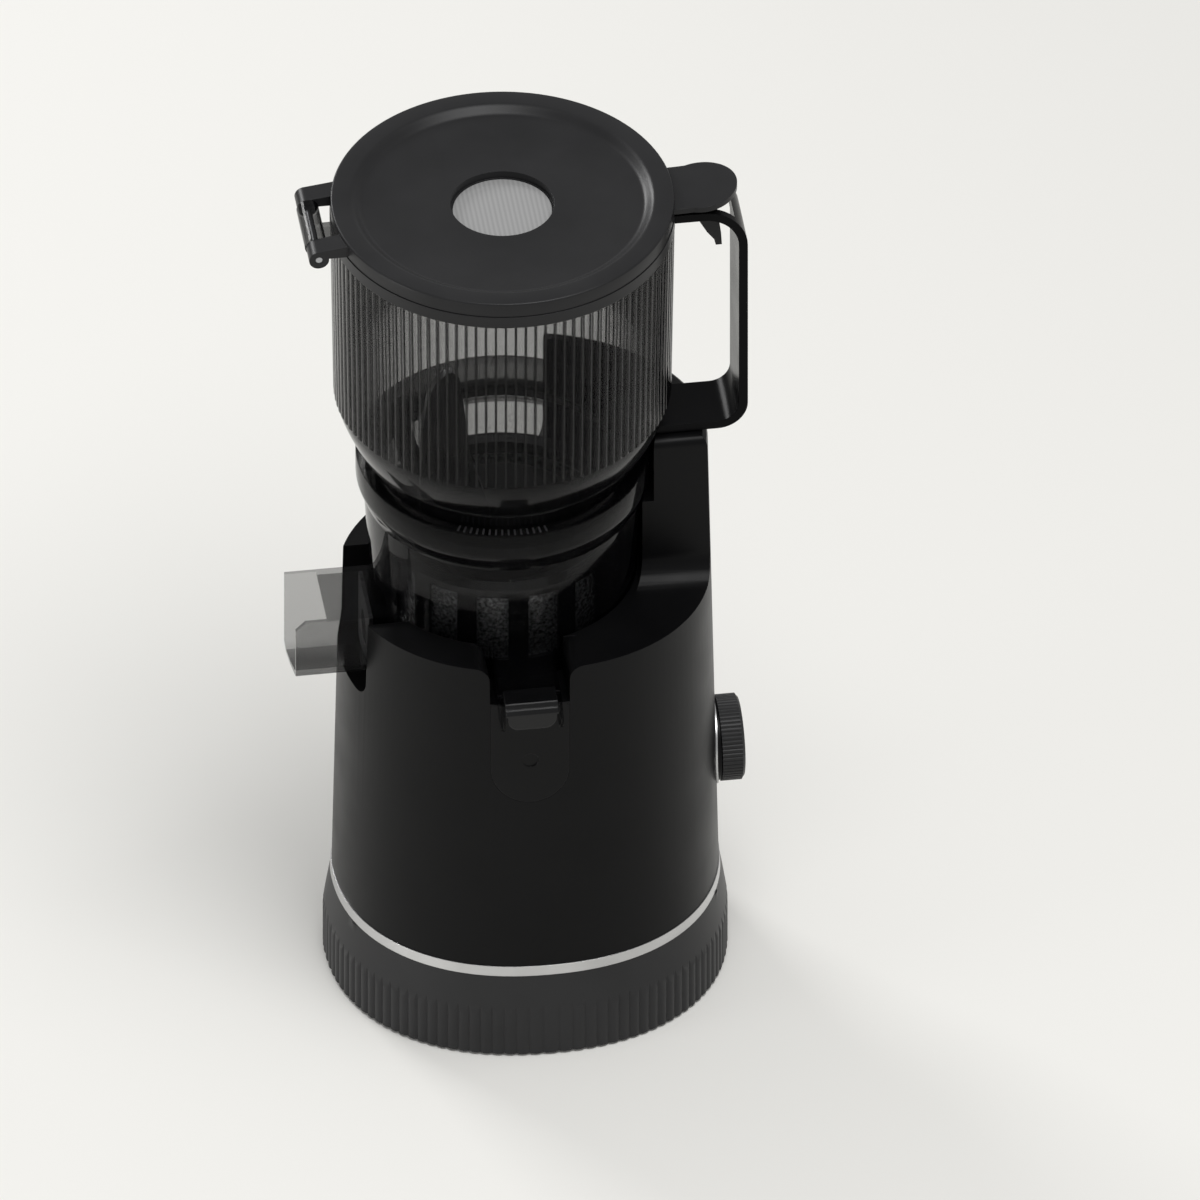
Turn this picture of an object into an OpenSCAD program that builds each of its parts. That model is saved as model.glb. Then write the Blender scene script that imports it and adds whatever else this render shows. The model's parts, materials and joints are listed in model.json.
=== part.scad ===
// Slow juicer: a wide lidded hopper over a screw drum, on a column with a motor and gear train.
// All sizes in millimetres, +Z up, front is -Y, the handle and the knob are on +X.
// Pieces are drawn round the column's upright centre line and then moved so that the
// origin is the middle of the whole object's footprint on the table.

/* [Foot ring] */
// Height of the rubber feet under the foot ring
foot_h = 1.5; // [1:0.1:3]
// Radius of one rubber foot
foot_r = 9; // [7:0.5:11]
// Distance by which the foot ring stands out past the column
base_flare = 4.4; // [3.4:0.1:8]
// Height of the foot ring with its shoulder
base_ring_h = 46.5; // [42:0.5:50]
// Height of the fluted band below the shoulder
flute_band_h = 23; // [22:0.5:26]
// Number of flutes, a multiple of four
base_flutes = 108; // [96:4:120]
// Depth of one flute
base_flute_d = 0.9; // [0.4:0.1:1.2]
// Wall of the foot ring
base_wall = 2.6; // [2:0.1:3]
// Thickness of the bottom plate
plate_t = 2.5; // [2:0.1:4]

/* [Column] */
// Half width of the column at its lower end
column_half_w = 96.1; // [95:0.1:96.5]
// Half width of the column at the tower's top
column_top_half_w = 90.6; // [90:0.1:92]
// Wall of the column
column_wall = 2.8; // [2.2:0.1:3.2]
// Height of the silver trim ring
trim_h = 5.6; // [4:0.1:7]
// Rise of the deck above the trim ring
deck_rise = 183.9; // [181:0.1:187]
// Thickness of the deck
deck_t = 3; // [2:0.1:4]

/* [Tower] */
// Rise of the tower above the deck
tower_rise = 84.5; // [82:0.1:84.6]
// Distance of the tower's front face behind the centre line
tower_front = -22; // [-26:1:-18]
// Place of the tower's left end
tower_left = 20; // [14:1:30]
// Rounding of the tower's top front edge
tower_top_r = 5; // [3:0.5:8]
// Hollow fillet where the tower meets the deck
tower_foot_r = 14; // [10:1:18]

/* [Front panel] */
// Width of the pill-shaped panel and of the spout slot over it
panel_w = 39; // [37:0.5:41]
// Height of the panel's lower end above the table
panel_z0 = 156; // [150:1:165]
// Height of the panel's upper edge above the table
panel_z1 = 216.6; // [214:0.2:217]
// Thickness of the panel
panel_t = 1.6; // [1.2:0.1:1.8]
// Radius of the small thumb dimple
dimple_r = 4; // [3:0.5:5]
// Depth of the dimple
dimple_d = 0.7; // [0.3:0.1:1]

/* [Knob] */
// Radius of the knob
knob_r = 21.6; // [19:0.2:23]
// Thickness of the knob
knob_t = 11.5; // [10:0.5:13]
// Height of the knob's centre above the table
knob_z = 114; // [108:1:120]
// Number of ribs round the knob
knob_ribs = 60; // [48:2:72]
// Depth of one rib
knob_rib_d = 0.5; // [0.3:0.1:0.8]
// Thickness of the silver ring round the knob's seat
knob_ring_t = 1; // [0.8:0.1:2]
// Width by which the silver ring shows past the knob
knob_ring_w = 1; // [0.6:0.1:1.6]

/* [Drum] */
// Place of the drum's axis, from the column's centre line
drum_x = -11; // [-12:0.5:-10]
// Outer radius of the drum at the deck
drum_r = 66; // [65:0.5:66.5]
// Outer radius of the drum at its top
drum_top_r = 69; // [68.5:0.1:69.2]
// Height of the drum's underside above the table
drum_z0 = 198; // [196:0.5:199]
// Rise of the drum's shoulder above the deck
drum_rise = 49; // [47:0.5:50]
// Wall of the drum
drum_wall = 2.2; // [1.8:0.1:2.6]
// Gap between the drum and its well
well_gap = 1; // [0.6:0.1:1.4]

/* [Juice spout] */
// Width of the spout
spout_w = 31; // [29:0.5:33]
// Distance of the spout's lip in front of the drum's axis
spout_reach = 108; // [106:0.5:112]
// Height of the spout's upper edge at the drum
spout_top = 236.5; // [235:0.5:237]
// Height of the spout's floor underside
spout_floor = 219.5; // [218.5:0.1:221]
// Wall of the spout
spout_wall = 2; // [1.6:0.1:2.4]

/* [Pulp chute] */
// Distance of the chute's open end from the column's centre line
chute_reach = 120; // [117:0.5:124]
// Front side of the chute
chute_front = -39; // [-40:0.5:-36]
// Rear side of the chute
chute_rear = 3; // [0:0.5:5]
// Height of the chute's top
chute_top = 240.5; // [239:0.5:242]
// Wall of the chute
chute_wall = 2; // [1.6:0.1:2.4]
// Length by which the top cover is cut back at the open end
chute_cutback = 16; // [10:1:20]

/* [Screw and strainer] */
// Outer radius of the strainer
strainer_r = 58; // [56:0.5:59]
// Number of windows round the strainer
strainer_windows = 14; // [10:1:18]
// Outer radius of the screw's flights
screw_r = 54.2; // [52:0.2:54.4]
// Radius of the screw's core at its foot
screw_core_r = 34; // [28:1:38]
// Turns of each flight
screw_turns = 1.25; // [1:0.05:1.5]
// Height of the tall blade's tip above the screw's head
blade_h = 100; // [90:1:106]

/* [Collar] */
// Outer radius of the locking collar
collar_r = 73; // [72.8:0.1:74]
// Height of the locking collar
collar_h = 24; // [23:0.2:25]
// Angle between the locked and the open place of the collar's lugs
lock_turn = 35; // [34:1:38]

/* [Hopper] */
// Outer radius of the fluted wall at its lower end
hopper_r = 84; // [83:0.2:84.6]
// Outer radius of the fluted wall at its upper end
hopper_top_r = 85.6; // [85.2:0.1:86]
// Height of the rounded bowl over the collar
bowl_h = 42; // [38:0.5:44]
// Height of the fluted wall
fluted_h = 103.5; // [98:0.5:108]
// Wall of the hopper
hopper_wall = 2.6; // [2.2:0.1:3]
// Number of flutes round the hopper
hopper_flutes = 106; // [90:2:120]
// Depth of one flute
hopper_flute_d = 0.5; // [0.3:0.1:0.7]
// Height of the black rim ring
rim_h = 6.5; // [5:0.1:8]

/* [Lid] */
// Thickness of the lid's rim
lid_t = 7.9; // [7.4:0.1:9]
// Gap between the lid and the rim ring
lid_gap = 0.3; // [0.2:0.05:0.5]
// Depth of the dish in the lid
dish_d = 3.7; // [2.5:0.1:4]
// Radius of the round window's opening
window_r = 25.8; // [22:0.2:28]
// Depth of the glass below the dish
window_drop = 4.2; // [3:0.1:4.4]
// Distance of the hinge's axis outside the lid's edge
hinge_out = 10.1; // [9.6:0.1:12]
// Half the whole length of the hinge
hinge_half_l = 26.5; // [24:0.5:28]
// Length of each hinge ear
ear_l = 11; // [9:0.5:12]
// Radius of the ears
ear_r = 5; // [4.4:0.1:5.4]
// Radius of the hinge pin
hinge_pin_r = 1.8; // [1.4:0.1:2.2]

/* [Handle] */
// Width of the strap
strap_w = 32.5; // [30:0.5:36]
// Thickness of the strap
strap_t = 4.5; // [4:0.1:5]
// Distance of the strap's outer face from the drum's axis
handle_reach = 120.8; // [119:0.2:124]
// Outer radius of the upper bend
bend_top_r = 22; // [18:1:24]
// Outer radius of the lower bend
bend_low_r = 15; // [12:1:18]
// Gap between the handle's lower arm and the tower
arm_gap = 1; // [0.8:0.1:2]

/* [Latch] */
// Half width of the thumb paddle
paddle_half_w = 17; // [15:0.5:18]
// Thickness of the paddle
paddle_t = 3; // [2.4:0.1:3.2]
// Distance of the paddle's tip outside the lid's edge
paddle_out = 32.1; // [30:0.1:33]
// Rise of the paddle towards its tip
paddle_rise = 3; // [1:0.1:4]
// Length of the finger below the paddle
finger_l = 30; // [24:1:32]
// Width of the finger
finger_w = 16; // [12:1:18]

/* [Drive] */
// Outer radius of the motor case
motor_r = 44; // [40:0.5:46]
// Height of the motor case
motor_h = 84; // [80:1:86]
// Distance across the flats of the drive shaft's hexagon
hex_af = 12; // [10:0.5:12]
// Radius of the drive shaft
shaft_r = 7; // [7:0.1:7.6]

/* [Hidden] */
$fn = 96;

// Overrun of every cut past the face it opens
over = 1;
// Gap between pieces that lie side by side without a fit
fit = 0.3;
// Running clearance of a pin in its hole
pin_run = 0.06;
// Shares that shape the column's outline: depth to half width, and roundness
front_depth_share = 0.965;
rear_depth_share = 0.86;
front_power_share = 2.2;
rear_power_share = 1.9;
plan_sides = 120;
base_half_w = column_half_w + base_flare;
base_z = foot_h;
trim_z = base_z + base_ring_h;
column_z = trim_z + trim_h;
deck_z = column_z + deck_rise;
tower_z = deck_z + tower_rise;
big = 4 * column_half_w;

// Column outline
function plan_point(half_w, angle, inset) =
    let (c = cos(angle), s = sin(angle),
         power = s < 0 ? front_power_share : rear_power_share,
         depth = half_w * (s < 0 ? front_depth_share : rear_depth_share) - inset)
    [sign(c) * (half_w - inset) * pow(abs(c), 2 / power), sign(s) * depth * pow(abs(s), 2 / power)];
function plan(half_w, inset = 0) =
    [for (i = [0 : plan_sides - 1]) plan_point(half_w, 360 * i / plan_sides, inset)];
function half_w_at(z) =
    column_half_w + (column_top_half_w - column_half_w) * (z - column_z) / (tower_z - column_z);
function lift(points, z) = [for (p = points) [p[0], p[1], z]];
// Points of an arc, from angle a0 to angle a1
function arc(cx, cy, r, a0, a1, steps = 8) =
    [for (i = [0 : steps]) let (a = a0 + (a1 - a0) * i / steps) [cx + r * cos(a), cy + r * sin(a)]];

// Closed solid through a stack of outlines with the same number of points
module skin(rings) {
    n = len(rings[0]);
    m = len(rings);
    sides = [for (k = [0 : m - 2]) for (i = [0 : n - 1])
        let (a = k * n + i, b = k * n + (i + 1) % n) each [[a, a + n, b + n], [a, b + n, b]]];
    polyhedron(
        [for (ring = rings) each ring],
        concat([[for (i = [0 : n - 1]) i]], sides, [[for (i = [0 : n - 1]) m * n - 1 - i]]));
}
module column(z0, z1, inset = 0)
    skin([for (z = [z0, z1]) lift(plan(half_w_at(z), inset), z)]);
module at_base() translate([base_x, base_y, 0]) children();
module on_drum_axis(z = 0) translate([drum_x, 0, z]) children();
// A flat outline in Y and Z, drawn out along X from x0 to x1
module along_x(x0, x1) translate([x0, 0, 0]) rotate([90, 0, 90]) linear_extrude(x1 - x0) children();
// A flat outline in X and Z, drawn out along Y from y0 to y1
module along_y(y0, y1) translate([0, y1, 0]) rotate([90, 0, 0]) linear_extrude(y1 - y0) children();
module block(low, high) translate(low) cube(high - low);
module tube(r_out, r_in, h) {
    difference() {
        cylinder(r = r_out, h = h);
        translate([0, 0, -over]) cylinder(r = r_in, h = h + 2 * over);
    }
}

// The origin is moved to the middle of the footprint
handle_x = drum_x + handle_reach;
base_x = (chute_reach - handle_x) / 2;
base_y = (spout_reach - base_half_w * rear_depth_share) / 2;

// Well and slots in the column's top
well_r = drum_r + well_gap;
well_wall = 2.5;
spout_y = -spout_reach;
slot_half_w = panel_w / 2 + fit;
slot_flare = 7;
chute_slot_gap = 2;
chute_slot_rear = 20;
chute_slot_drop = 4.7;
chute_slot_r = 9;
chute_drop = 44.8;
chute_floor_z = chute_top - chute_drop;
chute_end_x = drum_x - 3 * drum_r / 4;
chute_slot_y0 = chute_front - chute_slot_gap;
chute_slot_y1 = chute_rear + chute_slot_rear;
chute_slot_z = chute_floor_z - chute_slot_drop;
shaft_gap = 2;
shaft_hole_r = shaft_r + shaft_gap;
tower_bore_gap = 3;
tower_bore_r = collar_r + tower_bore_gap;
tower_low_gap = 1.5;
tower_low_r = drum_top_r + tower_low_gap;
tower_step_z = deck_z + drum_rise - tower_low_gap;

// Height of the gear plate's ledge and of what stands on it
ledge_rise = 90;
ledge_z = column_z + ledge_rise;
ledge_w = 6;
gear_plate_t = 4;
gear_plate_z = ledge_z;
gear_z = gear_plate_z + gear_plate_t;
screw_shank_r = 1.6;
screw_head_r = 3;
module gear_screw_places() for (a = [45 : 90 : 315])
    translate(plan_point(half_w_at(gear_z), a, column_wall + ledge_w / 2 + fit)) children();

// The tower's front face runs down in a hollow fillet, its left end in a wider one
tower_end_r = 26;
module tower_block(inset = 0) {
    front = tower_front - tower_foot_r;
    left = tower_left - tower_end_r;
    top = tower_z - tower_top_r;
    foot = deck_z - deck_t - over;
    difference() {
        intersection() {
            along_x(-big, big) polygon(concat(
                [[front, foot]],
                arc(front, deck_z + tower_foot_r, tower_foot_r + inset, -90, 0),
                arc(tower_front + tower_top_r, top, tower_top_r - inset, 180, 90),
                [[big, tower_z - inset], [big, foot]]));
            along_y(-big, big) polygon(concat(
                [[left, foot]],
                arc(left, deck_z + tower_end_r, tower_end_r + inset, -90, 0),
                arc(tower_left + tower_top_r, top, tower_top_r - inset, 180, 90),
                [[big, tower_z - inset], [big, foot]]));
        }
        on_drum_axis(foot - over) cylinder(r = tower_low_r + inset, h = big);
        on_drum_axis(tower_step_z - inset) cylinder(r = tower_bore_r + inset, h = big);
    }
}
tower_edge_steps = 3;
module column_form() skin(concat(
    [lift(plan(column_half_w), column_z)],
    [for (k = [0 : tower_edge_steps])
        let (a = 90 * k / tower_edge_steps, z = tower_z - tower_top_r * (1 - sin(a)))
        lift(plan(half_w_at(z), tower_top_r * (1 - cos(a))), z)]));

// Slot for the spout with flared upper corners, over the panel's place
module slot_outline(z0, grow) {
    half = slot_half_w + grow;
    polygon(concat(
        [[-half, z0]],
        arc(-half - slot_flare, deck_z - slot_flare, slot_flare, 0, 90),
        [[-half - slot_flare, deck_z + over], [half + slot_flare, deck_z + over]],
        arc(half + slot_flare, deck_z - slot_flare, slot_flare, 90, 180),
        [[half, z0]]));
}
panel_corner = 3;
module panel_outline(grow) {
    half = panel_w / 2 + grow;
    corner = panel_corner;
    polygon(concat(
        arc(0, panel_z0 + panel_w / 2, half, 180, 360, 24),
        arc(half - corner, panel_z1 - corner, corner, 0, 90, 4),
        arc(-half + corner, panel_z1 - corner, corner, 90, 180, 4)));
}
module chute_slot_outline(grow) {
    y0 = chute_slot_y0 - grow;
    y1 = chute_slot_y1 + grow;
    z0 = chute_slot_z - grow;
    polygon(concat(
        arc(y0 + chute_slot_r, z0 + chute_slot_r, chute_slot_r, 180, 270),
        arc(y1 - chute_slot_r, z0 + chute_slot_r, chute_slot_r, 270, 360),
        [[y1, deck_z + over], [y0, deck_z + over]]));
}
panel_shift = 1.5;
panel_x = drum_x + panel_shift;
module column_cavity() {
    difference() {
        skin([for (step = [[column_z - over, 0], [ledge_z - gear_plate_t, 0],
                           [ledge_z - gear_plate_t, ledge_w], [ledge_z, ledge_w], [ledge_z, 0],
                           [deck_z - deck_t, 0]])
              lift(plan(half_w_at(step[0]), column_wall + step[1]), step[0])]);
        on_drum_axis(drum_z0 - well_wall) cylinder(r = well_r + well_wall, h = big);
        translate([panel_x, 0, 0]) along_y(-big, -drum_r + well_wall)
            slot_outline(panel_z1 - well_wall, well_wall);
        along_x(-big, chute_end_x + chute_slot_gap + well_wall) chute_slot_outline(well_wall);
    }
}
module body_shell() color("#1b1b1c") at_base() {
    difference() {
        union() {
            column_form();
            knob_axis(knob_face_x - knob_seat) cylinder(r = knob_boss_r, h = knob_x - fit - knob_face_x + knob_seat);
        }
        difference() {
            block([-big, -big, deck_z], [big, big, tower_z + over]);
            tower_block();
        }
        column_cavity();
        intersection() {
            column(deck_z - deck_t - over, tower_z, column_wall + fit);
            tower_block(column_wall);
        }
        on_drum_axis(drum_z0) cylinder(r = well_r, h = big);
        on_drum_axis(drum_z0 - well_wall - over) cylinder(r = shaft_hole_r, h = well_wall + 2 * over);
        translate([panel_x, 0, 0]) along_y(-big, -drum_r + well_wall) slot_outline(panel_z1, 0);
        along_x(-big, chute_end_x + chute_slot_gap) chute_slot_outline(0);
        panel_recess(fit / 3);
        knob_axis(0) cylinder(r = knob_shaft_r + fit, h = big);
        gear_screw_places() translate([0, 0, ledge_z - gear_plate_t - over])
            cylinder(r = screw_shank_r, h = gear_plate_t + 2 * over);
    }
}
module panel_recess(grow) {
    intersection() {
        translate([panel_x, 0, 0]) along_y(-big, 0) panel_outline(grow);
        difference() {
            column(column_z, deck_z, grow > 0 ? -over : 0);
            column(column_z - over, deck_z + over, panel_t);
        }
    }
}
module front_panel() color("#1a1a1b") at_base() {
    difference() {
        panel_recess(0);
        translate([panel_x, -dimple_y(), dimple_z]) rotate([90, 0, 0])
            cylinder(r = dimple_r, h = big);
    }
}
dimple_z = panel_z0 + panel_w * 2 / 3;
function dimple_y() = half_w_at(dimple_z) * front_depth_share - dimple_d;

// Foot ring: a fluted band that fades out in a sloping shoulder, with posts for the plate's screws
shoulder_shares = [0.22, 0.46, 0.75, 1];
shoulder_power_share = 1.15;
trim_step = 0.8;
shoulder_in = base_flare - trim_step;
rib_steps = 4;
flute_z = base_z + flute_band_h;
ring_in = base_flute_d + fit;
cavity_in = ring_in + base_wall;
boss_r = 5;
boss_in = cavity_in + boss_r - over;
boss_angle = 22;
plate_z = base_z;
plate_top = plate_z + plate_t;
screw_l = 12;
function rib_cut(i, depth) =
    let (u = ((i + rib_steps / 2) % rib_steps) / (rib_steps / 2) - 1) depth * (1 - sqrt(1 - u * u));
function ribbed(half_w, ribs, depth, inset) =
    [for (i = [0 : ribs * rib_steps - 1])
        plan_point(half_w, 360 * i / (ribs * rib_steps), inset + rib_cut(i, depth))];
function ribbed_round(r, ribs, depth) =
    [for (i = [0 : ribs * rib_steps - 1])
        let (q = r - rib_cut(i, depth), a = 360 * i / (ribs * rib_steps)) [q * cos(a), q * sin(a)]];
function shoulder_inset(share) = shoulder_in * pow(share, shoulder_power_share);
function shoulder_z(share) = flute_z + (trim_z - flute_z) * share;
module boss_places() for (a = [0, 180]) for (s = [-1, 1])
    translate(plan_point(base_half_w, a + s * boss_angle, boss_in)) children();
module base_ring() color("#2a2a2b") at_base() {
    difference() {
        intersection() {
            translate([0, 0, base_z]) linear_extrude(base_ring_h + over)
                polygon(ribbed(base_half_w, base_flutes, base_flute_d, 0));
            skin(concat([lift(plan(base_half_w, -shoulder_in), base_z - over)],
                [for (share = shoulder_shares)
                    lift(plan(base_half_w, shoulder_inset(share)), shoulder_z(share))]));
        }
        translate([0, 0, base_z - over]) linear_extrude(flute_band_h + over)
            polygon(plan(base_half_w, cavity_in));
        translate([0, 0, base_z]) linear_extrude(base_ring_h - base_wall)
            polygon(plan(base_half_w, cavity_in + shoulder_in));
        translate([0, 0, base_z]) linear_extrude(base_ring_h + over)
            polygon(plan(column_half_w, column_wall + ledge_w));
        cord_place() translate([0, 0, -cord_bush_l]) cylinder(r = cord_bush_r + fit / 3, h = 2 * cord_bush_l);
    }
    boss_places() translate([0, 0, plate_top]) difference() {
        cylinder(r = boss_r, h = trim_z - over - plate_top);
        translate([0, 0, -over]) cylinder(r = screw_shank_r, h = screw_l + over);
    }
}
module trim_ring() color("#b9b9b9") at_base() {
    difference() {
        skin([lift(plan(column_half_w + trim_step), trim_z),
              lift(plan(column_half_w + trim_step / 2), column_z)]);
        translate([0, 0, trim_z - over]) linear_extrude(trim_h + 2 * over)
            polygon(plan(column_half_w, column_wall));
    }
}
foot_spread_share = 0.55;
foot_spots = [for (sx = [-1, 1]) for (sy = [-1, 1])
    [sx * base_half_w * foot_spread_share, sy * base_half_w * foot_spread_share * rear_depth_share]];
vent_rows = 4;
vent_pitch = 7;
vent_half_w = 1.5;
vent_half_l = 26;
module base_plate() color("#202021") at_base() {
    difference() {
        translate([0, 0, plate_z]) linear_extrude(plate_t) polygon(plan(base_half_w, cavity_in + fit));
        for (p = foot_spots) translate([p[0], p[1], plate_z - over])
            cylinder(r = foot_r, h = over + plate_t / 2);
        boss_places() translate([0, 0, plate_z - over]) {
            cylinder(r = screw_shank_r, h = plate_t + 2 * over);
            cylinder(r = screw_head_r, h = over + plate_t / 2);
        }
        for (i = [-vent_rows : vent_rows]) translate([0, i * vent_pitch, plate_z])
            block([-vent_half_l, -vent_half_w, -over], [vent_half_l, vent_half_w, plate_t + over]);
    }
}
module feet() color("#151515") at_base() {
    for (p = foot_spots) translate([p[0], p[1], 0]) cylinder(r = foot_r, h = foot_h + plate_t / 2);
}
module base_screws() color("#8d8d8d") at_base() {
    boss_places() translate([0, 0, plate_z]) {
        cylinder(r = screw_head_r, h = plate_t / 2);
        cylinder(r = screw_shank_r, h = plate_t + screw_l);
    }
}

// Cord bush at the back of the foot ring, with a flange against the inside of its wall
cord_bush_r = 6.5;
cord_hole_r = 3.6;
cord_bush_l = 12;
cord_flange = 2.5;
cord_z = plate_top + cord_bush_r + cord_flange + over;
module cord_place() translate([0, base_half_w * rear_depth_share, cord_z]) rotate([90, 0, 0]) children();
module cord_bush() color("#151515") at_base() difference() {
    union() {
        cord_place() translate([0, 0, over]) cylinder(r = cord_bush_r, h = cord_bush_l);
        intersection() {
            cord_place() cylinder(r = cord_bush_r + cord_flange, h = cavity_in + 2 * cord_flange);
            translate([0, 0, base_z]) linear_extrude(flute_band_h) polygon(plan(base_half_w, cavity_in));
        }
    }
    cord_place() cylinder(r = cord_hole_r, h = big / 2);
}

// Knob, its ring, the switch behind the wall and the board that carries it
knob_shaft_r = 3;
knob_face_x = half_w_at(knob_z);
knob_seat = 4;
knob_cap_t = 1.2;
knob_boss_r = knob_r - 2 * fit;
knob_x = half_w_at(knob_z - knob_r - knob_ring_w) + knob_ring_t + fit;
switch_t = 8;
switch_half_w = 11;
switch_x = knob_face_x - column_wall - switch_t;
knob_shaft_l = knob_x - switch_x - over;
board_t = 1.6;
board_half_w = 26;
board_h = 44;
board_post = 8;
module knob_axis(x) translate([x, 0, knob_z]) rotate([0, 90, 0]) children();
module knob_ring() color("#c4c4c4") at_base() difference() {
    intersection() {
        knob_axis(knob_face_x - knob_seat) tube(knob_r + knob_ring_w, knob_boss_r, 2 * knob_seat);
        column(column_z, deck_z, -knob_ring_t);
    }
    column(column_z - over, deck_z + over);
}
module knob() color("#262627") at_base() {
    knob_axis(knob_x) {
        linear_extrude(knob_t - knob_cap_t) polygon(ribbed_round(knob_r, knob_ribs, knob_rib_d));
        translate([0, 0, knob_t - knob_cap_t])
            cylinder(r1 = knob_r - knob_rib_d, r2 = knob_r - knob_rib_d - knob_cap_t, h = knob_cap_t);
    }
    knob_axis(knob_x - knob_shaft_l) cylinder(r = knob_shaft_r, h = knob_shaft_l + over);
}
module rotary_switch() color("#2f3a44") at_base() difference() {
    intersection() {
        block([switch_x, -switch_half_w, knob_z - switch_half_w],
              [big, switch_half_w, knob_z + switch_half_w]);
        column(column_z, deck_z, column_wall);
    }
    knob_axis(0) cylinder(r = knob_shaft_r + pin_run, h = big);
}
module control_board() color("#1f5a3a") at_base() {
    block([switch_x - board_t, -board_half_w, knob_z - board_h / 2],
          [switch_x, board_half_w, knob_z + board_h / 2]);
    intersection() {
        for (y = [-board_half_w, board_half_w - board_post])
            for (z = [-board_h / 2, board_h / 2 - board_post])
                block([switch_x - board_t / 2, y, knob_z + z],
                      [big, y + board_post, knob_z + z + board_post]);
        column(column_z, deck_z, column_wall);
    }
}
// Switch in the tower's head that senses the handle's arm
interlock_w = 12;
interlock_x = drum_x + tower_bore_r + column_wall + over;
module interlock_switch() color("#5a5a5c") at_base() {
    block([interlock_x, 0, tower_z - column_wall - interlock_w],
          [interlock_x + interlock_w, 2 * interlock_w, tower_z - column_wall]);
}

// Motor and gears: the idler turns to the right of the drive axis, the motor close behind it.
// The teeth are as large as the column leaves room for.
fast_module_share = 0.0115;
slow_module_share = 0.0145;
fast_module = column_half_w * fast_module_share;
slow_module = column_half_w * slow_module_share;
pinion_teeth = 12;
idler_teeth = 72;
small_teeth = 12;
output_teeth = 60;
slow_distance = slow_module * (small_teeth + output_teeth) / 2;
fast_distance = fast_module * (pinion_teeth + idler_teeth) / 2;
idler_x = drum_x + slow_distance;
motor_x = idler_x - fast_distance;
gear_gap = 1;
fast_t = 8;
slow_t = 12;
fast_z = gear_z + gear_gap;
slow_z = fast_z + fast_t + 2 * gear_gap;
axle_r = 4;
motor_shaft_r = 4;
motor_z = gear_plate_z - motor_h;
motor_wall = 2;
bearing_r = 11;
bearing_t = 7;
stator_h = 36;
winding_h = 8;
stator_z = motor_z + motor_h - motor_wall - bearing_t - winding_h - stator_h;
air_gap = 0.6;
rotor_r = 24.4;
fan_r = 36;
fan_t = 8;
fan_blades = 9;
fan_z = motor_z + motor_wall + bearing_t + gear_gap;
// Teeth are straight-sided: half widths at the root and the tip as shares of the pitch,
// heights as shares of the module
tooth_root_share = 0.33;
tooth_tip_share = 0.09;
addendum_share = 0.9;
dedendum_share = 1.2;
function gear_outline(teeth, size) =
    let (r = teeth * size / 2, pitch = 360 / teeth,
         corners = [[-tooth_root_share, -dedendum_share], [-tooth_tip_share, addendum_share],
                    [tooth_tip_share, addendum_share], [tooth_root_share, -dedendum_share]])
    [for (i = [0 : teeth - 1]) for (corner = corners)
        let (a = pitch * (i + corner[0]), q = r + corner[1] * size) [q * cos(a), q * sin(a)]];
module gear(teeth, size, thickness, bore, phase = 0) difference() {
    rotate(phase) linear_extrude(thickness) polygon(gear_outline(teeth, size));
    translate([0, 0, -over]) cylinder(r = bore, h = thickness + 2 * over);
}
module on_motor_axis(z = 0) translate([motor_x, 0, z]) children();
module on_idler_axis(z = 0) translate([idler_x, 0, z]) children();
module motor_case() color("#9a9c9e") at_base() on_motor_axis(motor_z) {
    difference() {
        cylinder(r = motor_r, h = motor_h);
        translate([0, 0, motor_wall]) cylinder(r = motor_r - motor_wall, h = motor_h - 2 * motor_wall);
        translate([0, 0, motor_wall]) cylinder(r = motor_shaft_r + gear_gap, h = motor_h);
        for (i = [0 : fan_blades - 1]) rotate(360 * i / fan_blades)
            block([bearing_r + 2 * motor_wall, -vent_half_w, -over],
                  [motor_r - 2 * motor_wall, vent_half_w, motor_wall + over]);
    }
    for (z = [motor_wall - over, motor_h - motor_wall - bearing_t + over]) translate([0, 0, z])
        tube(bearing_r + motor_wall, bearing_r, bearing_t);
}
module motor_stator() color("#6d6f72") at_base()
    on_motor_axis(stator_z) tube(motor_r - motor_wall, rotor_r + air_gap, stator_h);
module motor_windings() color("#a5602c") at_base() on_motor_axis(stator_z)
    for (z = [-winding_h, stator_h]) translate([0, 0, z])
        tube(motor_r - 2 * motor_wall, rotor_r + 4 * air_gap, winding_h);
module motor_bearings() color("#b4b6b8") at_base() on_motor_axis(motor_z)
    for (z = [motor_wall, motor_h - motor_wall - bearing_t]) translate([0, 0, z])
        tube(bearing_r, motor_shaft_r + pin_run, bearing_t);
module motor_rotor() color("#7c7e80") at_base() on_motor_axis() {
    translate([0, 0, motor_z + motor_wall])
        cylinder(r = motor_shaft_r, h = fast_z + fast_t - motor_z - motor_wall);
    translate([0, 0, stator_z - gear_gap]) cylinder(r = rotor_r, h = stator_h + 2 * gear_gap);
}
module cooling_fan() color("#2c2c2e") at_base() on_motor_axis(fan_z) difference() {
    union() {
        cylinder(r = 2 * motor_shaft_r, h = fan_t);
        for (i = [0 : fan_blades - 1]) rotate(360 * i / fan_blades)
            block([motor_shaft_r + gear_gap, -motor_wall / 2, 0], [fan_r, motor_wall / 2, fan_t]);
    }
    translate([0, 0, -over]) cylinder(r = motor_shaft_r, h = fan_t + 2 * over);
}
module motor_pinion() color("#8c8e90") at_base() on_motor_axis(fast_z)
    gear(pinion_teeth, fast_module, fast_t, motor_shaft_r);
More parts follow.
